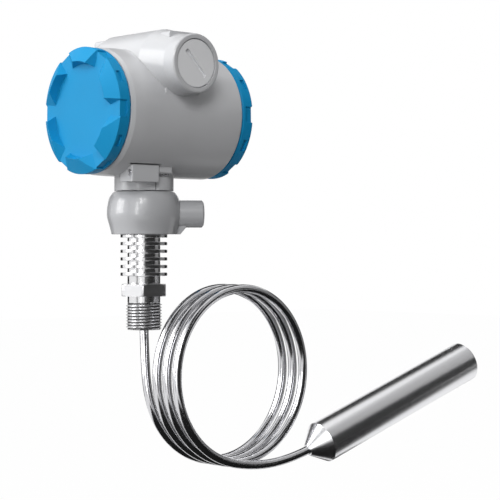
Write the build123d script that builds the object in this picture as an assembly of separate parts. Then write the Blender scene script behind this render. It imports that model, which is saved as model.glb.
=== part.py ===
# Level transmitter: turning head on a finned stem, formed tube and immersion probe.
# Millimetres. Origin at the free end of the process thread, +Z up the stem,
# +X from the front cover to the rear cover, the near conduit entry towards -Y.
import os
from math import cos, pi, radians, sin
from build123d import *

# Process stem, heights counted from the free end of the thread
THREAD_R = 12.0
THREAD_TOP = 17.3
BARREL_R = 11.0
HEX_FLATS = 29.0
HEX_BOTTOM = 22.2
HEX_TOP = 30.2
HEX_TURN = 20.4
FIN_R = 15.7
FIN_THICK = 2.3
FIN_PITCH = 5.05
FIN_COUNT = 6
STEM_BORE_R = 4.0

# Adapter bell
BELL_BOTTOM = 63.2
BELL_TOP = 91.3
BELL_FOOT_R = 21.6
BELL_MAX_R = 24.6
BELL_SHOULDER_R = 20.0
BELL_SOCKET = 14.0
OUTLET_AZIMUTH = -33.0
OUTLET_Z = 76.8
OUTLET_R = 9.1
OUTLET_REACH = 39.5
OUTLET_BORE_R = 5.5
VENT_THICK = 2.4
SPIGOT_R = 15.0
SPIGOT_HEIGHT = 12.0
SPIGOT_BORE_R = 9.0

# Housing
AXIS_Z = 142.6
BODY_R = 41.7
BODY_FRONT = -41.3
BODY_REAR = 51.0
MOUTH_R = 34.6
MOUTH_DEPTH = 12.0
CAVITY_R = 32.6
WALL_FRONT = 17.0
WALL_REAR = 21.0
NECK_R = 19.7
NECK_GAP = 0.6
NECK_FIT = 0.06
BLOCK_HALF = 10.6
BLOCK_FOOT = 14.5
BLOCK_REACH = 40.4
BLOCK_TOP = 193.8
BOSS_Z = 172.4
BOSS_R = 19.1
BOSS_REACH = 54.6
BOSS_ROOT_R = 24.5
BOSS_ROOT_Y = 33.0

# Clamp ears at the neck
EAR_FRONT = -23.2
EAR_BACK = -10.0
PAD_LEFT = -27.8
PAD_RIGHT = -5.2
PAD_BOTTOM = 97.0
PAD_TOP = 108.1
PAD_SLIT = 0.7
PAD_SLIT_DEPTH = 8.0
LUG_LEFT = -4.5
LUG_RIGHT = 6.1
LUG_BOTTOM = 102.6
CLAMP_Y = -20.4
CLAMP_Z = 102.8
CLAMP_R = 1.25
CLAMP_HEAD_R = 1.9
CLAMP_HEAD = 2.5
CLAMP_SLACK = 0.25
CLAMP_KEY = 2.0
WASHER_THICK = 0.6
WASHER_GAP = 0.3

# Screw-on covers
COVER_R = 41.0
COVER_THICK = 8.5
COVER_GAP = 0.3
COVER_SPIGOT = 10.5
COVER_HOLLOW_R = 30.5
COVER_PLATE = 4.5
COVER_TURN = -1.0
LUG_COUNT = 6
LUG_HEIGHT = 6.1
LUG_RIM_HEIGHT = 0.4
LUG_CREST_R = 31.4
LUG_BASE_R = 29.9
LUG_RIM_TURN = 22.5
LUG_LONG_FOOT_TURN = 22.0
LUG_SHORT_FOOT_TURN = 25.0
LUG_LONG_CREST_TURN = 6.0
LUG_SHORT_CREST_TURN = 18.5
NOTCH_WIDTH = 10.4
NOTCH_DEPTH = 1.3
NOTCH_LOW = 3.2
WINDOW_WIDTH = 8.0
WINDOW_LOW = 4.2
WINDOW_TOP = 1.2
COVER_SLACK = 0.35
SEAL_WIRE = 1.5

# Conduit plugs
PLUG_THREAD_R = 12.6
PLUG_HEAD_R = 15.5
PLUG_HEAD = 3.2
PLUG_LENGTH = 15.0
PLUG_SLACK = 0.35
PLUG_GROOVE_R = 10.4
PLUG_WIRE = 0.9
PLUG_SLOT_WIDTH = 2.6
PLUG_SLOT_DEPTH = 1.8
PLUG_SLOT_TURN = -47.0
ENTRY_R = 9.0

# Inside the head
BASE_THICK = 9.0
BASE_R = 30.0
TERMINAL_COUNT = 4
TERMINAL_PITCH = 9.5
TERMINAL_ROW_HALF = 2.2
BASE_SCREW_HEAD_R = 3.2
BASE_SCREW_CLEARANCE = 0.7
CASE_R = 29.5
CASE_LENGTH = 17.0
BOARD_THICK = 1.6

# Formed tube. The coil stands clear of a boss that is screwed on or off the process thread.
TUBE_R = 3.0
TUBE_WALL = 0.8
TUBE_IN_STEM = 9.0
COIL_X = 56.0
COIL_Z = -31.6
COIL_R = 58.4
COIL_PITCH = 10.43
COIL_Y = -11.7
COIL_STEPS = 12
COIL_FIRST_TURN = -0.5
COIL_LAST_TURN = 2.75
TUBE_DROP = 6.0
TUBE_LEAD_IN = 22.0
TUBE_IN_NOSE = 9.0

# Probe
PROBE_X, PROBE_Y, PROBE_Z = 122.45, -43.2, -80.6
PROBE_AZIMUTH = -7.0
PROBE_RISE = 21.2
PROBE_R = 14.5
PROBE_LENGTH = 142.0
NOSE_LENGTH = 13.0
NOSE_TIP_R = 4.0
PROBE_BORE_R = 12.2
CAP_LENGTH = 11.0
CAP_HOLE_R = 1.6


def rod(radius, low, high):
    return Pos(0, 0, (low + high) / 2) * Cylinder(radius, high - low)


def pipe(outer, inner, low, high):
    return rod(outer, low, high) - rod(inner, low - 1, high + 1)


def turned(points):
    outline = Plane.XZ * Polyline(*points, close=True)
    return revolve(make_face(outline), axis=Axis.Z)


def along_x(shape, x=0, z=AXIS_Z):
    return Pos(x, 0, z) * Rot(0, 90, 0) * shape


def half_turn(shape, centre_x=0):
    return Pos(centre_x, 0, 0) * Rot(0, 0, 180) * Pos(-centre_x, 0, 0) * shape


def hexagon(flats, low, high, turn=0):
    shape = extrude(RegularPolygon(flats / 2, 6, major_radius=False), amount=high - low)
    return Pos(0, 0, low) * Rot(0, 0, turn) * shape


def block(x0, x1, y0, y1, z0, z1):
    return Pos((x0 + x1) / 2, (y0 + y1) / 2, (z0 + z1) / 2) * Box(x1 - x0, y1 - y0, z1 - z0)


def ring(radius, wire, height=0):
    return Pos(0, 0, height) * Torus(radius, wire)


nodes = {}

# Stem: one turned piece, bored through for the tube and the cable
fin_tops = [BELL_BOTTOM - i * FIN_PITCH for i in range(FIN_COUNT)]
hex_chamfer = 1.2
hex_corner = HEX_FLATS / 2 / cos(pi / 6)
hex_round = turned([
    (0, HEX_BOTTOM), (hex_corner - hex_chamfer, HEX_BOTTOM), (hex_corner, HEX_BOTTOM + hex_chamfer * 0.6),
    (hex_corner, HEX_TOP - hex_chamfer * 0.6), (hex_corner - hex_chamfer, HEX_TOP), (0, HEX_TOP)])
stem = turned([
    (0, 0), (THREAD_R, 0), (THREAD_R, THREAD_TOP), (BARREL_R, THREAD_TOP + 0.6),
    (BARREL_R, BELL_BOTTOM + BELL_SOCKET), (0, BELL_BOTTOM + BELL_SOCKET)])
stem += hexagon(HEX_FLATS, HEX_BOTTOM, HEX_TOP, HEX_TURN) & hex_round
for top in fin_tops:
    stem += rod(FIN_R, top - FIN_THICK, top)
gland_r = TUBE_R + 2.0
gland_depth = 6.0
nodes["stem"] = stem - rod(STEM_BORE_R, -1, BELL_BOTTOM + BELL_SOCKET + 1) - rod(gland_r, -1, gland_depth)

# Ferrule round the tube, flush with the thread end
nodes["tube_gland"] = pipe(gland_r, TUBE_R, 0, gland_depth)

# Potting that closes the top of the stem bore
potting_low = BELL_BOTTOM + BELL_SOCKET - 12
nodes["stem_potting"] = rod(STEM_BORE_R, potting_low, BELL_BOTTOM + BELL_SOCKET)

# Adapter bell: the side outlet and the web under it are cast on
bell_rise = BELL_TOP - BELL_BOTTOM
bell_swell = BELL_MAX_R - BELL_FOOT_R
bell_side = Spline(
    (BELL_FOOT_R, 0, BELL_BOTTOM), (BELL_FOOT_R + 0.43 * bell_swell, 0, BELL_BOTTOM + 0.19 * bell_rise),
    (BELL_MAX_R, 0, BELL_BOTTOM + 0.45 * bell_rise),
    (BELL_MAX_R - 0.13 * bell_swell, 0, BELL_BOTTOM + 0.68 * bell_rise),
    (BELL_SHOULDER_R + 0.57 * (BELL_MAX_R - BELL_SHOULDER_R), 0, BELL_BOTTOM + 0.886 * bell_rise),
    (BELL_SHOULDER_R, 0, BELL_TOP))
bell_rest = Polyline(
    (BELL_SHOULDER_R, 0, BELL_TOP), (SPIGOT_R, 0, BELL_TOP), (SPIGOT_R, 0, BELL_TOP + SPIGOT_HEIGHT - 1),
    (SPIGOT_R - 1, 0, BELL_TOP + SPIGOT_HEIGHT), (0, 0, BELL_TOP + SPIGOT_HEIGHT), (0, 0, BELL_BOTTOM),
    (BELL_FOOT_R, 0, BELL_BOTTOM))
bell = revolve(make_face(Wire([bell_side.edge()] + list(bell_rest.edges()))), axis=Axis.Z)
outlet_edge = 1.0
outlet = Rot(0, 90, 0) * turned([
    (0, 0), (OUTLET_R, 0), (OUTLET_R, OUTLET_REACH - outlet_edge), (OUTLET_R - outlet_edge, OUTLET_REACH),
    (0, OUTLET_REACH)])
outlet_bore = Rot(0, 90, 0) * (
    rod(OUTLET_BORE_R, 0, OUTLET_REACH + 1)
    + rod(OUTLET_BORE_R + 1.2, OUTLET_REACH - VENT_THICK, OUTLET_REACH + 1))
web = extrude(Plane.XZ * Polygon(
    (12, BELL_BOTTOM), (23.8, BELL_BOTTOM), (27.5, BELL_BOTTOM + 4.4), (27.5, OUTLET_Z - 4),
    (12, OUTLET_Z - 4), align=None), amount=4.5, both=True)
place_outlet = Pos(0, 0, OUTLET_Z) * Rot(0, 0, OUTLET_AZIMUTH)
bell += place_outlet * outlet + Rot(0, 0, OUTLET_AZIMUTH) * web
bell -= place_outlet * outlet_bore
bell -= rod(BARREL_R, BELL_BOTTOM - 1, BELL_BOTTOM + BELL_SOCKET)
bell -= rod(SPIGOT_BORE_R, BELL_BOTTOM + BELL_SOCKET - 0.01, BELL_TOP + SPIGOT_HEIGHT + 1)
neck_groove = BELL_TOP + 4.6
neck_wire = 0.85
bell -= pipe(SPIGOT_R + 1, SPIGOT_R - 2.0, neck_groove - 1.2, neck_groove + 1.2)
nodes["adapter"] = bell
nodes["neck_seal"] = ring(SPIGOT_R - 2.0 + neck_wire, neck_wire, neck_groove)
nodes["vent_disc"] = place_outlet * Rot(0, 90, 0) * rod(
    OUTLET_BORE_R + 1.2, OUTLET_REACH - VENT_THICK, OUTLET_REACH - 0.4)

# Housing casting
body = along_x(turned([
    (0, BODY_FRONT), (BODY_R - 1.5, BODY_FRONT), (BODY_R - 0.4, BODY_FRONT + 3), (BODY_R, BODY_FRONT + 12),
    (BODY_R, BODY_REAR - 1), (BODY_R - 1, BODY_REAR), (0, BODY_REAR)]))
neck_low = BELL_TOP + NECK_GAP
neck_top = AXIS_Z - CAVITY_R
body += rod(NECK_R, neck_low, AXIS_Z - 20)
skirt_low = PAD_BOTTOM + 14.5
body += block(PAD_LEFT, LUG_RIGHT, EAR_FRONT, 10, skirt_low, AXIS_Z)
section = Plane.XZ * Polygon(
    (-BLOCK_FOOT, AXIS_Z), (BLOCK_FOOT, AXIS_Z), (BLOCK_HALF, BLOCK_TOP), (-BLOCK_HALF, BLOCK_TOP), align=None)
cross = extrude(section, amount=BLOCK_REACH, both=True)
body += fillet(cross.edges().filter_by(Axis.Y).group_by(Axis.Z)[-1], 2.0)
boss_half = turned([
    (0, 0), (BOSS_ROOT_R, 0), (BOSS_ROOT_R, BOSS_ROOT_Y - 8), (BOSS_R, BLOCK_REACH + 4), (BOSS_R, BOSS_REACH - 0.8),
    (BOSS_R - 0.8, BOSS_REACH), (0, BOSS_REACH)])
near_boss = Pos(0, 0, BOSS_Z) * Rot(90, 0, 0) * boss_half
body += near_boss + half_turn(near_boss)

# Hollows of the housing
cavity = along_x(
    rod(MOUTH_R, BODY_FRONT - 1, BODY_FRONT + MOUTH_DEPTH) + rod(CAVITY_R, BODY_FRONT - 1, WALL_FRONT)
    + rod(MOUTH_R, BODY_REAR - MOUTH_DEPTH, BODY_REAR + 1) + rod(CAVITY_R, WALL_REAR, BODY_REAR + 1))
body -= cavity
pass_y, pass_z = 24.0, 17.0
body -= Pos(0, pass_y, pass_z) * along_x(rod(2.5, WALL_FRONT - 1, WALL_REAR + 1))
body -= rod(SPIGOT_R + NECK_FIT, neck_low - 1, BELL_TOP + SPIGOT_HEIGHT + 0.6)
body -= rod(SPIGOT_BORE_R, BELL_TOP, AXIS_Z)
plug_seat = BOSS_REACH - PLUG_HEAD - 0.6
entry = (
    rod(ENTRY_R, 10, BOSS_REACH)
    + rod(PLUG_THREAD_R + PLUG_SLACK, plug_seat - PLUG_LENGTH - 1.5, BOSS_REACH)
    + rod(PLUG_HEAD_R + PLUG_SLACK, plug_seat, BOSS_REACH + 1))
near_entry = Pos(0, 0, BOSS_Z) * Rot(90, 0, 0) * entry
drop_r = ENTRY_R - 1
body -= near_entry + half_turn(near_entry)
body -= rod(drop_r, AXIS_Z, BOSS_Z) + Pos(0, 0, BOSS_Z) * Rot(90, 0, 0) * rod(ENTRY_R, -12, 12)

# Clamp ears, split from each other and through the neck wall
ears = (
    block(PAD_LEFT, PAD_RIGHT, EAR_FRONT, EAR_BACK, PAD_BOTTOM, skirt_low)
    + block(LUG_LEFT, LUG_RIGHT, EAR_FRONT + 1.2, EAR_BACK, LUG_BOTTOM, skirt_low))
ears = fillet(ears.edges().filter_by(Axis.Z).group_by(Axis.Y)[0], 1.0)
ears -= rod(SPIGOT_R + NECK_FIT, PAD_BOTTOM - 1, BELL_TOP + SPIGOT_HEIGHT + 0.6)
ears -= rod(SPIGOT_BORE_R, PAD_BOTTOM, AXIS_Z)
body += ears
slit_top = BELL_TOP + SPIGOT_HEIGHT + 0.6
body -= block(PAD_RIGHT, LUG_LEFT, EAR_FRONT - 1, 0, neck_low - 1, slit_top)
body -= block(PAD_RIGHT, LUG_LEFT, EAR_FRONT - 2, EAR_FRONT + PAD_SLIT_DEPTH, neck_low - 1, PAD_TOP + PAD_SLIT)
body -= block(PAD_LEFT - 2, LUG_LEFT, EAR_FRONT - 2, EAR_FRONT + PAD_SLIT_DEPTH, PAD_TOP, PAD_TOP + PAD_SLIT)
clamp_seat = PAD_LEFT + CLAMP_HEAD + WASHER_THICK + 2 * WASHER_GAP + 0.4
clamp_end = LUG_RIGHT - 0.8
screw_bore = (
    rod(CLAMP_HEAD_R + CLAMP_SLACK, PAD_LEFT - 1, clamp_seat)
    + rod(CLAMP_R + CLAMP_SLACK, clamp_seat, clamp_end + 0.4))
body -= Pos(0, CLAMP_Y, CLAMP_Z) * Rot(0, 90, 0) * screw_bore
nodes["housing"] = body

# Clamp screw with socket head, and its spring washer
head_low = clamp_seat - WASHER_THICK - 2 * WASHER_GAP
screw = turned([
    (0, head_low - CLAMP_HEAD), (CLAMP_HEAD_R - 0.4, head_low - CLAMP_HEAD),
    (CLAMP_HEAD_R, head_low - CLAMP_HEAD + 0.4), (CLAMP_HEAD_R, head_low), (CLAMP_R, head_low),
    (CLAMP_R, clamp_end - 0.6), (CLAMP_R - 0.5, clamp_end), (0, clamp_end)])
screw -= hexagon(CLAMP_KEY, head_low - CLAMP_HEAD - 1, head_low - 1.0)
place_screw = Pos(0, CLAMP_Y, CLAMP_Z) * Rot(0, 90, 0)
nodes["clamp_screw"] = place_screw * screw
nodes["clamp_washer"] = place_screw * pipe(
    CLAMP_HEAD_R, CLAMP_R + 0.2, head_low + WASHER_GAP, head_low + WASHER_GAP + WASHER_THICK)


# Cover with six skewed grip lugs; local +Z points out of the housing, 0 is the housing rim
def lug_point(radius, turn, height):
    return Vector(radius * cos(radians(turn)), radius * sin(radians(turn)), COVER_GAP + COVER_THICK + height)


def lug_end(side, foot_turn, crest_turn):
    # Everything past the flat facet that runs from the rim and the foot up to the crest
    crest = lug_point(LUG_CREST_R, side * crest_turn, LUG_HEIGHT)
    rim = lug_point(COVER_R, side * LUG_RIM_TURN, 0)
    foot = lug_point(LUG_BASE_R, side * foot_turn, 0)
    normal = (rim - crest).cross(foot - crest)
    if normal.Z < 0:
        normal = normal * -1
    reach = 2 * COVER_R
    return Plane(origin=crest, z_dir=normal) * block(-reach, reach, -reach, reach, 0, reach)


def cover_lug():
    face = COVER_GAP + COVER_THICK
    crown = turned([
        (LUG_BASE_R, face - 0.5), (COVER_R, face - 0.5), (COVER_R, face + LUG_RIM_HEIGHT),
        (LUG_CREST_R, face + LUG_HEIGHT), (LUG_BASE_R, face)])
    half_span = radians(180 / LUG_COUNT)
    reach = 2 * COVER_R
    sector = extrude(Polygon(
        (0, 0), (reach * cos(half_span), -reach * sin(half_span)),
        (reach * cos(half_span), reach * sin(half_span)), align=None), amount=reach)
    lug = crown & sector
    lug -= lug_end(1, LUG_LONG_FOOT_TURN, LUG_LONG_CREST_TURN)
    return lug - lug_end(-1, LUG_SHORT_FOOT_TURN, LUG_SHORT_CREST_TURN)


def cover():
    face = COVER_GAP + COVER_THICK
    spigot_r = MOUTH_R - COVER_SLACK
    shell = turned([
        (0, -COVER_SPIGOT), (spigot_r - 0.8, -COVER_SPIGOT), (spigot_r, -COVER_SPIGOT + 0.8),
        (spigot_r, COVER_GAP), (COVER_R - 1.2, COVER_GAP), (COVER_R - 0.2, COVER_GAP + 1.5), (COVER_R, face),
        (0, face)])
    shell -= rod(COVER_HOLLOW_R, -COVER_SPIGOT - 1, face - COVER_PLATE)
    groove = pipe(spigot_r + 1, spigot_r - 2 * SEAL_WIRE - 0.3, -2 * SEAL_WIRE - 1.0, -0.4)
    shell -= groove
    lug = cover_lug()
    for index in range(LUG_COUNT):
        turn = 360 / LUG_COUNT * (index + 0.5)
        shell += Rot(0, 0, turn) * lug
        notch = block(COVER_R - NOTCH_DEPTH, COVER_R + 2, -NOTCH_WIDTH / 2, NOTCH_WIDTH / 2,
                      COVER_GAP + NOTCH_LOW, face + 1)
        shell -= Rot(0, 0, turn - 180 / LUG_COUNT) * notch
        window = block(COVER_R - NOTCH_DEPTH, COVER_R + 2, -WINDOW_WIDTH / 2, WINDOW_WIDTH / 2,
                       COVER_GAP + WINDOW_LOW, face - WINDOW_TOP)
        shell -= Rot(0, 0, turn) * window
    return shell


def cover_seal():
    groove_floor = MOUTH_R - COVER_SLACK - 2 * SEAL_WIRE - 0.3
    return ring(groove_floor + 0.3 + SEAL_WIRE * 0.9, SEAL_WIRE * 0.9, -SEAL_WIRE - 0.7)


blank = cover()
gasket = cover_seal()
front = Pos(BODY_FRONT, 0, AXIS_Z) * Rot(0, -90, 0)
rear = Pos(BODY_REAR, 0, AXIS_Z) * Rot(0, 90, 0)
nodes["front_cover"] = front * Rot(0, 0, 90 + COVER_TURN) * blank
nodes["front_seal"] = front * gasket
nodes["rear_cover"] = rear * Rot(0, 0, 90 + COVER_TURN) * blank
nodes["rear_seal"] = rear * gasket


# Conduit plug with screwdriver slot; local +Z points out of the boss, 0 is the head's seat
def plug():
    shape = turned([
        (0, -PLUG_LENGTH), (PLUG_THREAD_R - 1, -PLUG_LENGTH), (PLUG_THREAD_R, -PLUG_LENGTH + 1),
        (PLUG_THREAD_R, -3.4), (PLUG_GROOVE_R, -3.4), (PLUG_GROOVE_R, 0.3),
        (PLUG_HEAD_R, 0.3), (PLUG_HEAD_R, PLUG_HEAD - 0.4), (PLUG_HEAD_R - 0.4, PLUG_HEAD), (0, PLUG_HEAD)])
    shape -= rod(PLUG_THREAD_R - 4, -PLUG_LENGTH - 1, -2)
    slot = block(-PLUG_HEAD_R * 0.72, PLUG_HEAD_R * 0.72, -PLUG_SLOT_WIDTH / 2, PLUG_SLOT_WIDTH / 2,
                 PLUG_HEAD - PLUG_SLOT_DEPTH, PLUG_HEAD + 1)
    return shape - slot


def plug_seal():
    return ring(PLUG_GROOVE_R + 0.3 + PLUG_WIRE, PLUG_WIRE, -1.5)


near = Pos(0, -plug_seat, BOSS_Z) * Rot(90, 0, 0)
stopper = plug()
nodes["near_plug"] = near * Rot(0, 0, PLUG_SLOT_TURN) * stopper
nodes["near_plug_seal"] = near * plug_seal()
nodes["far_plug"] = half_turn(near * Rot(0, 0, 20) * stopper)
nodes["far_plug_seal"] = half_turn(near * plug_seal())

# Terminal base behind the front cover, local +Z towards the front cover
inner = Pos(WALL_FRONT, 0, AXIS_Z) * Rot(0, -90, 0) * Rot(0, 0, 90)
base = rod(BASE_R, 0, BASE_THICK) & block(-40, 40, -26, 8, -1, 40)
row_half = TERMINAL_PITCH * TERMINAL_ROW_HALF
base += block(-row_half, row_half, -11, 1, BASE_THICK, BASE_THICK + 6)
clamps = Part()
screws = Part()
for index in range(TERMINAL_COUNT):
    x = (index - (TERMINAL_COUNT - 1) / 2) * TERMINAL_PITCH
    pocket = block(x - 3.4, x + 3.4, -9, -1, BASE_THICK + 1, BASE_THICK + 7)
    base -= pocket
    clamps += block(x - 3.4, x + 3.4, -9, -1, BASE_THICK + 1, BASE_THICK + 5.6)
    clamps -= Pos(x, -5, 0) * rod(1.6, BASE_THICK + 3, BASE_THICK + 8)
    bolt = rod(1.6, BASE_THICK + 3, BASE_THICK + 5.6) + rod(2.8, BASE_THICK + 5.6, BASE_THICK + 8)
    bolt -= block(-4, 4, -0.4, 0.4, BASE_THICK + 7, BASE_THICK + 9)
    screws += Pos(x, -5, 0) * Rot(0, 0, 25 * index) * bolt
hold_x = row_half + BASE_SCREW_HEAD_R + BASE_SCREW_CLEARANCE
holders = Part()
for side in (-1, 1):
    spot = Pos(side * hold_x, -5, 0)
    base -= spot * rod(1.75, -1, BASE_THICK + 1)
    holder = rod(1.75, 0, BASE_THICK) + rod(BASE_SCREW_HEAD_R, BASE_THICK, BASE_THICK + 2.2)
    holder -= block(-4, 4, -0.4, 0.4, BASE_THICK + 1.2, BASE_THICK + 3)
    holders += spot * Rot(0, 0, 35 * side) * holder
nodes["terminal_base"] = inner * base
nodes["terminal_clamps"] = inner * clamps
nodes["terminal_screws"] = inner * screws
nodes["base_screws"] = inner * holders

# Earth screw on the partition, above the terminal base
earth = rod(2.5, 2, 4) + rod(3.8, 4, 6.6) - block(-5, 5, -0.5, 0.5, 5.6, 8)
earth_plate = block(-5, 5, -5, 5, 0, 2)
nodes["ground_screw"] = inner * Pos(14, 17, 0) * (earth + earth_plate)

# Electronics behind the rear cover, local +Z towards the rear cover
outer = Pos(WALL_REAR, 0, AXIS_Z) * Rot(0, 90, 0) * Rot(0, 0, 90)
case = rod(CASE_R, 0, CASE_LENGTH)
case -= pipe(CASE_R + 1, CASE_R - 1.2, CASE_LENGTH - 5, CASE_LENGTH + 1)
for side in (-1, 1):
    case -= Pos(side * 20, 0, 0) * rod(1.5, 6, CASE_LENGTH + 1)
board_r = CASE_R - 4
board = rod(board_r, CASE_LENGTH, CASE_LENGTH + BOARD_THICK)
board -= Pos(20, 0, 0) * rod(1.5, CASE_LENGTH - 1, CASE_LENGTH + 4)
board -= Pos(-20, 0, 0) * rod(1.5, CASE_LENGTH - 1, CASE_LENGTH + 4)
chips = block(-9, 3, -4, 8, CASE_LENGTH + BOARD_THICK, CASE_LENGTH + BOARD_THICK + 1.8)
chips += block(-14, 14, -19, -12, CASE_LENGTH + BOARD_THICK, CASE_LENGTH + BOARD_THICK + 4)
chips += Pos(9, 11, 0) * rod(3.2, CASE_LENGTH + BOARD_THICK, CASE_LENGTH + BOARD_THICK + 4)
pins = Part()
for side in (-1, 1):
    pin = rod(1.5, 8, CASE_LENGTH + BOARD_THICK)
    pin += rod(2.8, CASE_LENGTH + BOARD_THICK, CASE_LENGTH + BOARD_THICK + 2)
    pin -= block(-4, 4, -0.4, 0.4, CASE_LENGTH + BOARD_THICK + 1.2, CASE_LENGTH + BOARD_THICK + 3)
    pins += Pos(side * 20, 0, 0) * Rot(0, 0, 40 * side) * pin
nodes["electronics_case"] = outer * case
nodes["electronics_board"] = outer * (board + chips)
nodes["board_screws"] = outer * pins

# Formed tube: circumscribed polygon of the coil with rounded corners, then straight into the probe
rise, azimuth = radians(PROBE_RISE), radians(PROBE_AZIMUTH)
probe_dir = Vector(cos(rise) * cos(azimuth), cos(rise) * sin(azimuth), sin(rise))
probe_start = Vector(PROBE_X, PROBE_Y, PROBE_Z)
corner_r = COIL_R / cos(pi / COIL_STEPS)
bend_share = 0.93
path = [Vector(0, 0, TUBE_IN_STEM), Vector(0, 0, -TUBE_DROP)]
corner = COIL_FIRST_TURN + 0.5 / COIL_STEPS
while corner < COIL_LAST_TURN:
    angle = 2 * pi * corner
    path.append(Vector(
        COIL_X + corner_r * cos(angle), COIL_Y - COIL_PITCH * corner, COIL_Z + corner_r * sin(angle)))
    corner += 1 / COIL_STEPS
path.append(probe_start - probe_dir * (NOSE_LENGTH + TUBE_LEAD_IN))
path.append(probe_start - probe_dir * (NOSE_LENGTH - TUBE_IN_NOSE))
centre_line = FilletPolyline(*path, radius=COIL_R * bend_share)
start = Plane(origin=path[0], z_dir=(0, 0, -1))
tube = sweep(start * Circle(TUBE_R), path=centre_line)
tube_hole = sweep(start * Circle(TUBE_R - TUBE_WALL), path=centre_line)
nodes["tube"] = tube - tube_hole

# Probe, built along +Z and laid on its own direction
probe = Plane(origin=probe_start, x_dir=(0, -1, 0), z_dir=probe_dir)
nose_step = 8.0
nose = turned([
    (0, -NOSE_LENGTH), (NOSE_TIP_R, -NOSE_LENGTH), (PROBE_R, 0), (PROBE_R, 5), (PROBE_BORE_R, 5),
    (PROBE_BORE_R, 5 + nose_step), (0, 5 + nose_step)])
nose -= rod(TUBE_R, -NOSE_LENGTH - 1, -NOSE_LENGTH + TUBE_IN_NOSE)
nose -= rod(TUBE_R - TUBE_WALL, -NOSE_LENGTH, 14)
nose_groove = 5 + nose_step / 2
nose -= pipe(PROBE_BORE_R + 1, PROBE_BORE_R - 1.6, nose_groove - 1.1, nose_groove + 1.1)
cap_start = PROBE_LENGTH - CAP_LENGTH
sleeve = pipe(PROBE_R, PROBE_BORE_R, 5, cap_start)
cell_thick = 6.0
cell_low = cap_start - 4.5 - cell_thick
shelf = pipe(PROBE_BORE_R, 9.5, cell_low - 3, cell_low)
seal_wire = 1.0
cap = turned([
    (PROBE_BORE_R - 1.4, cap_start - 4.5 + 2 * seal_wire), (PROBE_BORE_R, cap_start - 4.5 + 2 * seal_wire),
    (PROBE_BORE_R, cap_start), (PROBE_R, cap_start), (PROBE_R, PROBE_LENGTH - 1.5),
    (PROBE_R - 1.5, PROBE_LENGTH), (0, PROBE_LENGTH), (0, PROBE_LENGTH - 3), (PROBE_BORE_R - 1.4, PROBE_LENGTH - 3)])
cap -= rod(CAP_HOLE_R, PROBE_LENGTH - 5, PROBE_LENGTH + 1)
for index in range(4):
    cap -= Rot(0, 0, 90 * index) * Pos(7, 0, 0) * rod(CAP_HOLE_R, PROBE_LENGTH - 5, PROBE_LENGTH + 1)
nodes["probe_nose"] = probe * nose
nodes["probe_seal"] = probe * ring(PROBE_BORE_R - 0.8, 0.8, nose_groove)
nodes["probe_body"] = probe * (sleeve + shelf)
nodes["sensor_cell"] = probe * rod(PROBE_BORE_R - 0.2, cell_low, cell_low + cell_thick)
nodes["sensor_seal"] = probe * ring(PROBE_BORE_R - 1.4, seal_wire, cell_low + cell_thick + seal_wire)
nodes["probe_cap"] = probe * cap

os.makedirs("parts", exist_ok=True)
for name, shape in nodes.items():
    export_step(shape, f"parts/{name}.step")
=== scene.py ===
import math
import bmesh
import bpy
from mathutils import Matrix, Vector


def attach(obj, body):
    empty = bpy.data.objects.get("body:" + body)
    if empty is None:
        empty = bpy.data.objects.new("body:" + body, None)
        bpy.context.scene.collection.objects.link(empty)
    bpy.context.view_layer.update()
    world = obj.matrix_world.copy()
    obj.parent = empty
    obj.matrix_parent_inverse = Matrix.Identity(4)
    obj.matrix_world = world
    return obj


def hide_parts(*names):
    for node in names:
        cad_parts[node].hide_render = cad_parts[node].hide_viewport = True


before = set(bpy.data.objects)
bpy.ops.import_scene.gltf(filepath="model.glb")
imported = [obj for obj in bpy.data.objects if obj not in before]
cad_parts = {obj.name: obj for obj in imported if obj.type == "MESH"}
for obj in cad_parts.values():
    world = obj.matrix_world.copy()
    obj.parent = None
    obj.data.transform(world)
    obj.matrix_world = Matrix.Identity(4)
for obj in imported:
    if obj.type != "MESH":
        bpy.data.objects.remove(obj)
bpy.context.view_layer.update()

mm = 0.001
fullTurn = 2 * math.pi
# Edges sharper than the angle in degrees stay hard. A soft corner takes at most its share of a side.
meshSet = {"sharpAngle": 32, "cornerSteps": 3, "cornerShare": 0.45}
print("stage: frame loaded,", len(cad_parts), "nodes")


# Small helpers for meshes. Sizes come in as millimetres.
def newPiece(name, bm, smooth=True):
    mesh = bpy.data.meshes.new(name)
    bmesh.ops.recalc_face_normals(bm, faces=bm.faces)
    bm.to_mesh(mesh)
    bm.free()
    piece = bpy.data.objects.new(name, mesh)
    bpy.context.scene.collection.objects.link(piece)
    if smooth:
        mesh.shade_smooth()
        mesh.set_sharp_from_angle(angle=math.radians(meshSet["sharpAngle"]))
    return piece


def roundRing(bm, radius, height, around):
    ring = []
    for i in range(around):
        turn = fullTurn * i / around
        ring.append(bm.verts.new((
            radius * mm * math.cos(turn), radius * mm * math.sin(turn), height * mm)))
    return ring


def joinRings(bm, rings):
    # Bands of quads from each ring to the next
    for low, high in zip(rings, rings[1:]):
        for i in range(len(low)):
            j = (i + 1) % len(low)
            bm.faces.new((low[i], low[j], high[j], high[i]))


def roundOff(start, corner, end, t):
    # A point on the bent line from start to end that the corner pulls towards itself
    return start * (1 - t) ** 2 + corner * 2 * t * (1 - t) + end * t ** 2


def softCorners(profile, size):
    # A small round at every corner of a turned profile
    soft = [profile[0]]
    share, steps = meshSet["cornerShare"], meshSet["cornerSteps"]
    for before, corner, after in zip(profile, profile[1:], profile[2:]):
        a, b, c = Vector(before), Vector(corner), Vector(after)
        cut = min(size, (a - b).length * share, (c - b).length * share)
        start = b + (a - b).normalized() * cut
        end = b + (c - b).normalized() * cut
        for k in range(steps + 1):
            point = roundOff(start, b, end, k / steps)
            soft.append((point.x, point.y))
    soft.append(profile[-1])
    return soft


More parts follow.
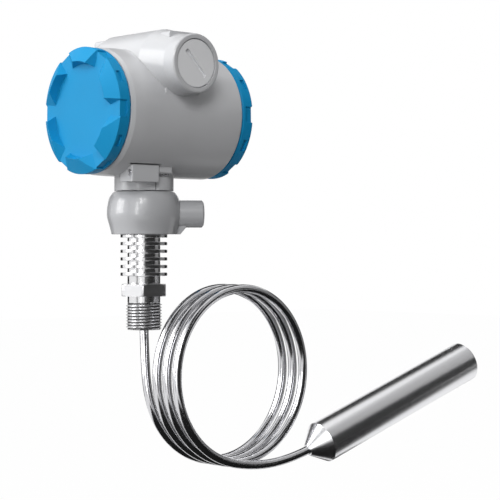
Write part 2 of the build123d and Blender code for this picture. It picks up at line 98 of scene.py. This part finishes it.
def finishPiece(piece, body, slotName, material, *hidden):
    piece.data.materials.append(material)
    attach(piece, body)
    if hidden:
        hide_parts(*hidden)


# Helpers for materials. Most of a noise lies inside noiseSpan, so ramps run between its ends.
noiseSpan = (0.3, 0.7)
bumpHeights = {"paint": 0.0002, "metal": 0.00005, "stuff": 0.0001}  # metres
paintRoughSpan = (-0.04, 0.05)
stuffShades = (0.8, 1.15)


def newMaterial(name):
    material = bpy.data.materials.new(name)
    material.use_nodes = True
    tree = material.node_tree
    shader = next(n for n in tree.nodes if n.type == "BSDF_PRINCIPLED")
    return material, tree, shader


def linkAll(tree, *pairs):
    for source, target in pairs:
        tree.links.new(source, target)


def addNoise(tree, scale, detail, stretch=(1, 1, 1)):
    place = tree.nodes.new("ShaderNodeTexCoord")
    mapping = tree.nodes.new("ShaderNodeMapping")
    mapping.inputs["Scale"].default_value = stretch
    noise = tree.nodes.new("ShaderNodeTexNoise")
    noise.inputs["Scale"].default_value = scale
    noise.inputs["Detail"].default_value = detail
    linkAll(tree,
            (place.outputs["Object"], mapping.inputs["Vector"]),
            (mapping.outputs["Vector"], noise.inputs["Vector"]))
    return noise


def addRamp(tree, source, socket, stops):
    # A ramp from a value between 0 and 1 to one socket of the shader
    ramp = tree.nodes.new("ShaderNodeValToRGB")
    elements = ramp.color_ramp.elements
    while len(elements) > 1:
        elements.remove(elements[-1])
    for index, (position, colour) in enumerate(stops):
        element = elements[0] if index == 0 else elements.new(position)
        element.position = position
        element.color = (*colour, 1)
    linkAll(tree, (source, ramp.inputs["Fac"]), (ramp.outputs["Color"], socket))


def grey(value):
    return (value, value, value)


def shade(colour, factor):
    return tuple(min(1, c * factor) for c in colour)


def addBump(tree, shader, source, strength, distance, edgeRound=0.0):
    bump = tree.nodes.new("ShaderNodeBump")
    bump.inputs["Strength"].default_value = strength
    bump.inputs["Distance"].default_value = distance
    tree.links.new(source, bump.inputs["Height"])
    if edgeRound:
        bevel = tree.nodes.new("ShaderNodeBevel")
        bevel.samples = 4
        bevel.inputs["Radius"].default_value = edgeRound
        tree.links.new(bevel.outputs["Normal"], bump.inputs["Normal"])
    tree.links.new(bump.outputs["Normal"], shader.inputs["Normal"])


def paintMaterial(look):
    material, tree, shader = newMaterial(look["name"])
    low, high = noiseSpan
    mottle = addNoise(tree, look["mottleScale"], 4)
    addRamp(tree, mottle.outputs["Fac"], shader.inputs["Base Color"],
            [(low, shade(look["colour"], 1 - look["mottle"])),
             (high, shade(look["colour"], 1 + look["mottle"]))])
    grain = addNoise(tree, look["grainScale"], 2)
    addRamp(tree, grain.outputs["Fac"], shader.inputs["Roughness"],
            [(low, grey(look["rough"] + paintRoughSpan[0])),
             (high, grey(look["rough"] + paintRoughSpan[1]))])
    shader.inputs["Specular IOR Level"].default_value = look.get("specular", 0.5)
    shader.inputs["Coat Weight"].default_value = look["coat"]
    shader.inputs["Coat Roughness"].default_value = look["coatRough"]
    addBump(tree, shader, grain.outputs["Fac"], look["grain"], bumpHeights["paint"], look["edge"])
    return material


def metalMaterial(look):
    material, tree, shader = newMaterial(look["name"])
    low, high = noiseSpan
    vary = look.get("vary", 0.05)
    shader.inputs["Metallic"].default_value = 1.0
    streak = addNoise(tree, look["streakScale"], 3, look.get("stretch", (1, 1, 1)))
    addRamp(tree, streak.outputs["Fac"], shader.inputs["Base Color"],
            [(low, shade(look["colour"], 1 - vary)), (high, look["colour"])])
    addRamp(tree, streak.outputs["Fac"], shader.inputs["Roughness"],
            [(low, grey(look["rough"] * (1 - vary))), (high, grey(look["rough"] * (1 + vary)))])
    if "bump" in look:
        addBump(tree, shader, streak.outputs["Fac"], look["bump"], bumpHeights["metal"], look["edge"])
    return material


def stuffMaterial(look):
    material, tree, shader = newMaterial(look["name"])
    low, high = noiseSpan
    spots = addNoise(tree, look["scale"], 3)
    addRamp(tree, spots.outputs["Fac"], shader.inputs["Base Color"],
            [(low, shade(look["colour"], stuffShades[0])), (high, shade(look["colour"], stuffShades[1]))])
    shader.inputs["Roughness"].default_value = look["rough"]
    shader.inputs["Metallic"].default_value = look.get("metal", 0.0)
    addBump(tree, shader, spots.outputs["Fac"], look["bump"], bumpHeights["stuff"])
    return material


paintLooks = {
    "housing": {"name": "greyCastPaint", "colour": (0.57, 0.575, 0.59), "mottle": 0.03,
                "mottleScale": 22, "rough": 0.38, "grainScale": 900, "grain": 0.06,
                "coat": 0.25, "coatRough": 0.14, "edge": 0.0009},
    "adapter": {"name": "adapterCastPaint", "colour": (0.46, 0.465, 0.48), "mottle": 0.03,
                "mottleScale": 22, "rough": 0.34, "grainScale": 900, "grain": 0.06,
                "coat": 0.50, "coatRough": 0.10, "edge": 0.0009},
    "plug": {"name": "plugPaint", "colour": (0.84, 0.845, 0.86), "mottle": 0.02,
             "mottleScale": 30, "rough": 0.38, "grainScale": 1200, "grain": 0.08,
             "coat": 0.1, "coatRough": 0.3, "edge": 0.0005},
    "cover": {"name": "blueCoverPaint", "colour": (0.004, 0.268, 0.55), "mottle": 0.03,
              "mottleScale": 25, "rough": 0.50, "grainScale": 1000, "grain": 0.05,
              "coat": 0.03, "coatRough": 0.25, "edge": 0.0005, "specular": 0.2},
}
metalLooks = {
    "turned": {"name": "turnedSteel", "colour": (0.78, 0.78, 0.79), "rough": 0.17,
               "streakScale": 60, "stretch": (1, 1, 40)},
    # The hex's colour is darker than the barrel's as painted shade that tones down its bright faces; its
    # higher roughness is the drawn finish
    "hex": {"name": "drawnHexSteelPaintedShade", "colour": (0.55, 0.55, 0.56), "rough": 0.34,
            "streakScale": 90, "stretch": (1, 1, 12)},
    "tube": {"name": "polishedTube", "colour": (0.70, 0.70, 0.72), "rough": 0.16, "streakScale": 120},
    "probe": {"name": "polishedProbe", "colour": (0.84, 0.84, 0.86), "rough": 0.26,
              "streakScale": 160, "vary": 0.01},
    "screw": {"name": "screwSteel", "colour": (0.60, 0.60, 0.62), "rough": 0.28,
              "streakScale": 200, "bump": 0.05, "edge": 0.0002},
    "darkScrew": {"name": "darkScrewSteel", "colour": (0.16, 0.16, 0.17), "rough": 0.35,
                  "streakScale": 200, "bump": 0.05, "edge": 0.0002},
    "brass": {"name": "terminalBrass", "colour": (0.75, 0.58, 0.28), "rough": 0.3,
              "streakScale": 150, "bump": 0.05, "edge": 0.0002},
}
stuffLooks = {
    "rubber": {"name": "sealRubber", "colour": (0.022, 0.022, 0.023), "scale": 300,
               "rough": 0.7, "bump": 0.2},
    "plastic": {"name": "blackMoulding", "colour": (0.03, 0.03, 0.032), "scale": 500,
                "rough": 0.5, "bump": 0.15},
    "potting": {"name": "pottingResin", "colour": (0.04, 0.04, 0.045), "scale": 200,
                "rough": 0.35, "bump": 0.3},
    "ceramic": {"name": "cellCeramic", "colour": (0.80, 0.78, 0.72), "scale": 400,
                "rough": 0.3, "bump": 0.05},
    "board": {"name": "circuitBoard", "colour": (0.02, 0.16, 0.06), "scale": 160,
              "rough": 0.35, "bump": 0.2},
    "vent": {"name": "sinteredVent", "colour": (0.42, 0.33, 0.20), "scale": 1500,
             "rough": 0.6, "bump": 0.8, "metal": 1.0},
}
paints = {key: paintMaterial(look) for key, look in paintLooks.items()}
metals = {key: metalMaterial(look) for key, look in metalLooks.items()}
stuffs = {key: stuffMaterial(look) for key, look in stuffLooks.items()}
print("stage: materials made")

# The solids that stay, each with its own finish
solidFinish = {
    "housing": paints["housing"], "adapter": paints["adapter"],
    "front_cover": paints["cover"], "rear_cover": paints["cover"],
    "near_plug": paints["plug"], "far_plug": paints["plug"],
    "front_seal": stuffs["rubber"], "rear_seal": stuffs["rubber"], "neck_seal": stuffs["rubber"],
    "near_plug_seal": stuffs["rubber"], "far_plug_seal": stuffs["rubber"],
    "probe_seal": stuffs["rubber"], "sensor_seal": stuffs["rubber"],
    "tube_gland": metals["turned"], "stem_potting": stuffs["potting"], "vent_disc": stuffs["vent"],
    "probe_nose": metals["probe"], "probe_body": metals["probe"], "probe_cap": metals["probe"],
    "sensor_cell": stuffs["ceramic"],
    "clamp_screw": metals["screw"], "clamp_washer": metals["darkScrew"],
    "terminal_base": stuffs["plastic"], "terminal_clamps": metals["brass"],
    "terminal_screws": metals["screw"], "base_screws": metals["screw"],
    "ground_screw": metals["screw"], "board_screws": metals["screw"],
    "electronics_case": stuffs["plastic"], "electronics_board": stuffs["board"],
}
for nodeName, material in solidFinish.items():
    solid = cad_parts[nodeName]
    for holder in solid.material_slots:
        holder.material = material
print("stage: solids finished")

# Stem, first its barrel with the cooling fins. Both ends run a little into their neighbours.
barrelSizes = {
    "radius": 11.0, "bottom": 17.3, "bellBottom": 63.2, "bellOverlap": 3, "edge": 0.35,
    "footCut": 1.2, "footBelow": 0.4, "footAbove": 0.6,
    "finRadius": 15.7, "finThick": 2.3, "finPitch": 5.05, "finCount": 6, "around": 128,
}


def barrelMesh(s):
    profile = [(s["radius"] - s["footCut"], s["bottom"] - s["footBelow"]),
               (s["radius"], s["bottom"] + s["footAbove"])]
    for index in reversed(range(s["finCount"])):
        top = s["bellBottom"] - index * s["finPitch"]
        profile += [(s["radius"], top - s["finThick"]), (s["finRadius"], top - s["finThick"]),
                    (s["finRadius"], top), (s["radius"], top)]
    profile.append((s["radius"], s["bellBottom"] + s["bellOverlap"]))
    bm = bmesh.new()
    joinRings(bm, [roundRing(bm, radius, height, s["around"])
                   for radius, height in softCorners(profile, s["edge"])])
    return bm


stemBarrel = newPiece("stemBarrel", barrelMesh(barrelSizes))
finishPiece(stemBarrel, "stem_assembly", "turned_steel", metals["turned"], "stem")

# Hexagon, with its corners turned down to a cone at both faces
hexSizes = {
    "flats": 29.0, "bottom": 22.2, "top": 30.2, "turn": 20.4, "chamfer": 1.2, "chamferSlope": 0.6,
    "chamferSteps": 4, "blunt": 0.12, "barrelOverlap": 0.2, "around": 144,
}


def hexMesh(s, barrelRadius):
    bm = bmesh.new()
    chamfer, slope, steps = s["chamfer"], s["chamferSlope"], s["chamferSteps"]
    sideAngle = math.pi / 3
    corner = s["flats"] / 2 / math.cos(sideAngle / 2)
    levels = [s["bottom"] + chamfer * slope * k / steps for k in range(steps + 1)]
    levels += [s["top"] - chamfer * slope * k / steps for k in reversed(range(steps + 1))]
    rings = []
    for height in levels:
        toFace = min(height - s["bottom"], s["top"] - height)
        limit = corner - chamfer + toFace / slope
        ring = []
        for i in range(s["around"]):
            turn = fullTurn * i / s["around"]
            fromMiddle = (turn + sideAngle / 2) % sideAngle - sideAngle / 2
            reach = min(s["flats"] / 2 / math.cos(fromMiddle), corner - s["blunt"], limit)
            spot = turn + math.radians(s["turn"])
            ring.append(bm.verts.new((
                reach * mm * math.cos(spot), reach * mm * math.sin(spot), height * mm)))
        rings.append(ring)
    joinRings(bm, rings)
    for ring in (rings[0], rings[-1]):
        inner = []
        for vertex in ring:
            outward = Vector((vertex.co.x, vertex.co.y, 0)).normalized()
            flat = outward * (barrelRadius - s["barrelOverlap"]) * mm
            inner.append(bm.verts.new((flat.x, flat.y, vertex.co.z)))
        joinRings(bm, [ring, inner])
    return bm


stemHex = newPiece("stemHex", hexMesh(hexSizes, barrelSizes["radius"]))
finishPiece(stemHex, "stem_assembly", "turned_steel", metals["hex"])

# Process thread, with the mouth of the bore in its free end. The crest's half width and the flank
# are shares of half a pitch.
threadSizes = {
    "radius": 12.0, "top": 17.3, "pitch": 2.0, "depth": 1.23, "crest": 0.12, "flank": 0.76,
    "endCut": 1.2, "runOut": 0.4, "boreRadius": 5.0, "boreShown": 3, "around": 96, "perPitch": 14,
}
# The colour in the thread's roots is darkened by the given share: painted shade
threadLook = {
    "name": "threadSteel", "colour": (0.78, 0.78, 0.79), "rough": 0.22,
    "paintedRootShade": 0.16, "rootRough": 0.4, "shadeSpan": (0.05, 0.5), "roughSpan": (0.1, 0.9),
}


def threadMesh(s, barrelRadius):
    bm = bmesh.new()
    steps = int(s["top"] / s["pitch"] * s["perPitch"])
    rings = []
    for k in range(steps + 1):
        height = s["top"] * k / steps
        ring = []
        for i in range(s["around"]):
            turn = fullTurn * i / s["around"]
            phase = (height / s["pitch"] - turn / fullTurn) % 1.0
            fromCrest = abs(phase - 0.5) * 2
            cut = s["depth"] * min(1, max(0, (fromCrest - s["crest"]) / s["flank"]))
            radius = min(s["radius"] - cut, s["radius"] - s["endCut"] + height)
            if height > s["top"] - s["runOut"]:
                radius = min(radius, barrelRadius)
            ring.append(bm.verts.new((
                radius * mm * math.cos(turn), radius * mm * math.sin(turn), height * mm)))
        rings.append(ring)
    for height in (0, s["boreShown"]):
        rings.insert(0, roundRing(bm, s["boreRadius"], height, s["around"]))
    joinRings(bm, rings)
    return bm


def threadMaterial(look, s):
    # Steel with painted shade: its colour darkens towards the roots of the thread
    material, tree, shader = newMaterial(look["name"])
    shader.inputs["Metallic"].default_value = 1.0
    place = tree.nodes.new("ShaderNodeTexCoord")
    flatten = tree.nodes.new("ShaderNodeVectorMath")
    flatten.operation = "MULTIPLY"
    flatten.inputs[1].default_value = (1, 1, 0)
    radius = tree.nodes.new("ShaderNodeVectorMath")
    radius.operation = "LENGTH"
    height = tree.nodes.new("ShaderNodeMapRange")
    height.inputs["From Min"].default_value = (s["radius"] - s["depth"]) * mm
    height.inputs["From Max"].default_value = s["radius"] * mm
    linkAll(tree,
            (place.outputs["Object"], flatten.inputs[0]),
            (flatten.outputs["Vector"], radius.inputs[0]),
            (radius.outputs["Value"], height.inputs["Value"]))
    dark, bright = look["shadeSpan"]
    # Painted shade in the thread's roots
    addRamp(tree, height.outputs["Result"], shader.inputs["Base Color"],
            [(dark, shade(look["colour"], look["paintedRootShade"])), (bright, look["colour"])])
    dull, clear = look["roughSpan"]
    addRamp(tree, height.outputs["Result"], shader.inputs["Roughness"],
            [(dull, grey(look["rootRough"])), (clear, grey(look["rough"]))])
    return material


stemThread = newPiece("stemThread", threadMesh(threadSizes, barrelSizes["radius"]))
finishPiece(stemThread, "stem_assembly", "turned_steel", threadMaterial(threadLook, threadSizes))
print("stage: stem made")

# Formed tube: same corner points as the solid, drawn as one smooth line. The coil runs from the
# turn "first" to the turn "last", and the run-out's two last corners lie behind and in the nose.
tubeSizes = {
    "radius": 3.0, "inStem": 9.0, "drop": 6.0, "around": 48, "samples": 16,
    "coilX": 56.0, "coilZ": -31.6, "coilRadius": 58.4, "coilPitch": 10.43, "coilY": -11.7,
    "perTurn": 12, "first": -0.5, "last": 2.75,
    "probeStart": (122.45, -43.2, -80.6), "probeAzimuth": -7.0, "probeRise": 21.2,
    "noseLength": 13.0, "behindNose": 22, "insideNose": 9,
}


def tubeCorners(s):
    azimuth, rise = math.radians(s["probeAzimuth"]), math.radians(s["probeRise"])
    way = Vector((
        math.cos(rise) * math.cos(azimuth), math.cos(rise) * math.sin(azimuth), math.sin(rise)))
    start = Vector(s["probeStart"])
    corners = [Vector((0, 0, s["inStem"])), Vector((0, 0, -s["drop"]))]
    reach = s["coilRadius"] / math.cos(math.pi / s["perTurn"])
    corner = s["first"] + 0.5 / s["perTurn"]
    while corner < s["last"]:
        turn = fullTurn * corner
        corners.append(Vector((
            s["coilX"] + reach * math.cos(turn), s["coilY"] - s["coilPitch"] * corner,
            s["coilZ"] + reach * math.sin(turn))))
        corner += 1 / s["perTurn"]
    corners.append(start - way * (s["noseLength"] + s["behindNose"]))
    corners.append(start - way * (s["noseLength"] - s["insideNose"]))
    return corners


def smoothLine(corners, samples):
    line = [corners[0]]
    final = len(corners) - 2
    for index in range(1, final + 1):
        before, corner, after = corners[index - 1:index + 2]
        start = before if index == 1 else (before + corner) / 2
        end = after if index == final else (corner + after) / 2
        line += [roundOff(start, corner, end, k / samples) for k in range(1, samples + 1)]
    return line


def tubeMesh(s):
    bm = bmesh.new()
    rings = []
    line = smoothLine(tubeCorners(s), s["samples"])
    side = Vector((1, 0, 0))
    for index, point in enumerate(line):
        ahead = line[min(index + 1, len(line) - 1)] - line[max(index - 1, 0)]
        ahead.normalize()
        side = (side - ahead * side.dot(ahead)).normalized()
        across = ahead.cross(side)
        ring = []
        for i in range(s["around"]):
            turn = fullTurn * i / s["around"]
            spot = point + (side * math.cos(turn) + across * math.sin(turn)) * s["radius"]
            ring.append(bm.verts.new(spot * mm))
        rings.append(ring)
    joinRings(bm, rings)
    bm.faces.new(rings[0])
    bm.faces.new(rings[-1])
    return bm


formedTube = newPiece("formedTube", tubeMesh(tubeSizes))
finishPiece(formedTube, "stem_assembly", "tube_steel", metals["tube"], "tube")
print("stage: tube made")

# Floor, backdrop light, lamps, and the dark boards that draw the black streaks in the steel.
# These places and sizes are metres. A board with a turn lies flat, the others face the part.
# The steel doesn't mirror a lamp whose shine is off.
studio = {
    "floorHeight": -0.30, "floorSize": 12.0, "floorTone": (0.18, 0.20), "floorRough": 0.8,
    "floorWhite": 0.99, "worldColour": (1, 1, 1), "worldStrength": 0.10,
    "boardAimTop": 0.3, "boardAimDrop": 0.05,
    "lamps": [
        {"name": "leftLamp", "place": (-1.49, 0.82, 0.75), "aim": (0.0, 0, 0.1),
         "size": (0.85, 1.5), "power": 26},
        {"name": "frontLamp", "place": (-1.47, -0.85, 0.30), "aim": (0.0, 0, 0.1),
         "size": (0.28, 1.0), "power": 6},
        {"name": "cameraLamp", "place": (-1.15, -1.35, 1.10), "aim": (0.0, 0, 0.1),
         "size": (0.7, 0.7), "power": 16},
        {"name": "topLamp", "place": (0.1, 0.1, 1.5), "aim": (0.05, 0, 0.1),
         "size": (1.6, 0.75), "power": 12, "shine": False},
        {"name": "backLamp", "place": (1.25, 1.0, 0.7), "aim": (0.05, 0, 0.1),
         "size": (1.0, 1.0), "power": 16, "shine": False},
    ],
    "boards": [
        {"name": "rightBoard", "place": (0.105, -0.995, 0.05), "size": (1.74, 0.68), "tone": 0.04},
        {"name": "leftBoard", "place": (-1.0, -0.06, 0.25), "size": (0.13, 1.1), "tone": 0.02},
        {"name": "backLeftBoard", "place": (0.0, 1.0, 0.1), "size": (0.6, 0.8), "tone": 0.012},
        {"name": "backRightBoard", "place": (0.99, 0.14, 0.1), "size": (0.6, 0.8), "tone": 0.012},
        {"name": "farRightBoard", "place": (1.1, -0.5, 0.45), "size": (0.9, 1.3), "tone": 0.30},
        {"name": "upperBoard", "place": (0.50, 0.56, 0.80), "size": (1.0, 0.80), "tone": 0.012},
        {"name": "greyBoard", "place": (0.47, -0.66, 0.78), "size": (0.95, 0.95), "tone": 0.62},
        {"name": "coilBoard", "place": (-0.26, -0.80, 0.70), "size": (0.9, 0.9), "tone": 0.01},
        {"name": "underBoard", "place": (0.60, 0.52, -0.29), "size": (1.0, 0.3), "tone": 0.03,
         "turn": 56},
        {"name": "lowBoard", "place": (0.235, -0.575, -0.285), "size": (1.6, 0.9), "tone": 0.012,
         "turn": -41.7},
    ],
}


def aimAt(thing, place, aim):
    thing.location = place
    thing.rotation_euler = (Vector(aim) - Vector(place)).to_track_quat("-Z", "Y").to_euler()


def sheetMesh(width, depth):
    bm = bmesh.new()
    corners = [(x * width / 2, y * depth / 2, 0) for x, y in ((-1, -1), (1, -1), (1, 1), (-1, 1))]
    bm.faces.new([bm.verts.new(corner) for corner in corners])
    return bm


def seenAsBackground(tree):
    # True for what the camera, the metal and clear things look at
    path = tree.nodes.new("ShaderNodeLightPath")
    total = path.outputs["Is Camera Ray"]
    for ray in ("Is Glossy Ray", "Is Transmission Ray"):
        either = tree.nodes.new("ShaderNodeMath")
        either.operation = "MAXIMUM"
        linkAll(tree, (total, either.inputs[0]), (path.outputs[ray], either.inputs[1]))
        total = either.outputs[0]
    return total


floor = newPiece("studioFloor", sheetMesh(studio["floorSize"], studio["floorSize"]), smooth=False)
floor.location.z = studio["floorHeight"]
floorPaint, floorTree, floorShader = newMaterial("paleFloor")
floorGrain = addNoise(floorTree, 3, 2)
addRamp(floorTree, floorGrain.outputs["Fac"], floorShader.inputs["Base Color"],
        [(end, grey(tone)) for end, tone in zip(noiseSpan, studio["floorTone"])])
floorShader.inputs["Roughness"].default_value = studio["floorRough"]
floorGlow = floorTree.nodes.new("ShaderNodeEmission")
floorMix = floorTree.nodes.new("ShaderNodeMixShader")
floorOut = next(n for n in floorTree.nodes if n.type == "OUTPUT_MATERIAL")
floorShare = floorTree.nodes.new("ShaderNodeMath")
floorShare.operation = "MULTIPLY"
floorShare.inputs[1].default_value = studio["floorWhite"]
linkAll(floorTree,
        (seenAsBackground(floorTree), floorShare.inputs[0]),
        (floorShare.outputs[0], floorMix.inputs["Fac"]),
        (floorShader.outputs["BSDF"], floorMix.inputs[1]),
        (floorGlow.outputs["Emission"], floorMix.inputs[2]),
        (floorMix.outputs["Shader"], floorOut.inputs["Surface"]))
floor.data.materials.append(floorPaint)

world = bpy.data.worlds.new("studioWorld")
bpy.context.scene.world = world
world.use_nodes = True
worldTree = world.node_tree
worldTree.nodes.clear()
worldOut = worldTree.nodes.new("ShaderNodeOutputWorld")
softSky = worldTree.nodes.new("ShaderNodeBackground")
softSky.inputs["Color"].default_value = (*studio["worldColour"], 1)
softSky.inputs["Strength"].default_value = studio["worldStrength"]
whiteSky = worldTree.nodes.new("ShaderNodeBackground")
whiteSky.inputs["Color"].default_value = (1, 1, 1, 1)
worldMix = worldTree.nodes.new("ShaderNodeMixShader")
linkAll(worldTree,
        (seenAsBackground(worldTree), worldMix.inputs["Fac"]),
        (softSky.outputs["Background"], worldMix.inputs[1]),
        (whiteSky.outputs["Background"], worldMix.inputs[2]),
        (worldMix.outputs["Shader"], worldOut.inputs["Surface"]))

for lamp in studio["lamps"]:
    light = bpy.data.lights.new(lamp["name"], "AREA")
    light.shape = "RECTANGLE"
    light.size, light.size_y = lamp["size"]
    light.energy = lamp["power"]
    holder = bpy.data.objects.new(lamp["name"], light)
    bpy.context.scene.collection.objects.link(holder)
    aimAt(holder, lamp["place"], lamp["aim"])
    holder.visible_glossy = lamp.get("shine", True)

for board in studio["boards"]:
    boardPaint, _, boardShader = newMaterial(board["name"] + "Paint")
    boardShader.inputs["Base Color"].default_value = (*grey(board["tone"]), 1)
    boardShader.inputs["Roughness"].default_value = 1.0
    boardShader.inputs["Specular IOR Level"].default_value = 0.0
    darkSheet = newPiece(board["name"], sheetMesh(*board["size"]), smooth=False)
    darkSheet.data.materials.append(boardPaint)
    if "turn" in board:
        darkSheet.location = board["place"]
        darkSheet.rotation_euler = (0, 0, math.radians(board["turn"]))
    else:
        aimHeight = min(board["place"][2], studio["boardAimTop"]) - studio["boardAimDrop"]
        aimAt(darkSheet, board["place"], (0, 0, aimHeight))
    darkSheet.visible_camera = False
    darkSheet.visible_diffuse = False
    darkSheet.visible_shadow = False
print("stage: studio made")

# Camera at the photograph's place, level
cameraSet = {
    "place": (-0.6764, -0.8649, 0.05435), "heading": (0.6653, 0.7466, 0.0), "lens": 118.8,
    "sensor": 36, "shift": -0.0047, "nearest": 0.01,
}
cameraData = bpy.data.cameras.new("photoCamera")
cameraData.lens = cameraSet["lens"]
cameraData.sensor_width = cameraSet["sensor"]
cameraData.shift_y = cameraSet["shift"]
cameraData.clip_start = cameraSet["nearest"]
photoCamera = bpy.data.objects.new("photoCamera", cameraData)
bpy.context.scene.collection.objects.link(photoCamera)
photoCamera.location = cameraSet["place"]
photoCamera.rotation_euler = Vector(cameraSet["heading"]).to_track_quat("-Z", "Y").to_euler()
bpy.context.scene.camera = photoCamera
bpy.context.scene.view_settings.view_transform = "Standard"
print("stage: camera set")
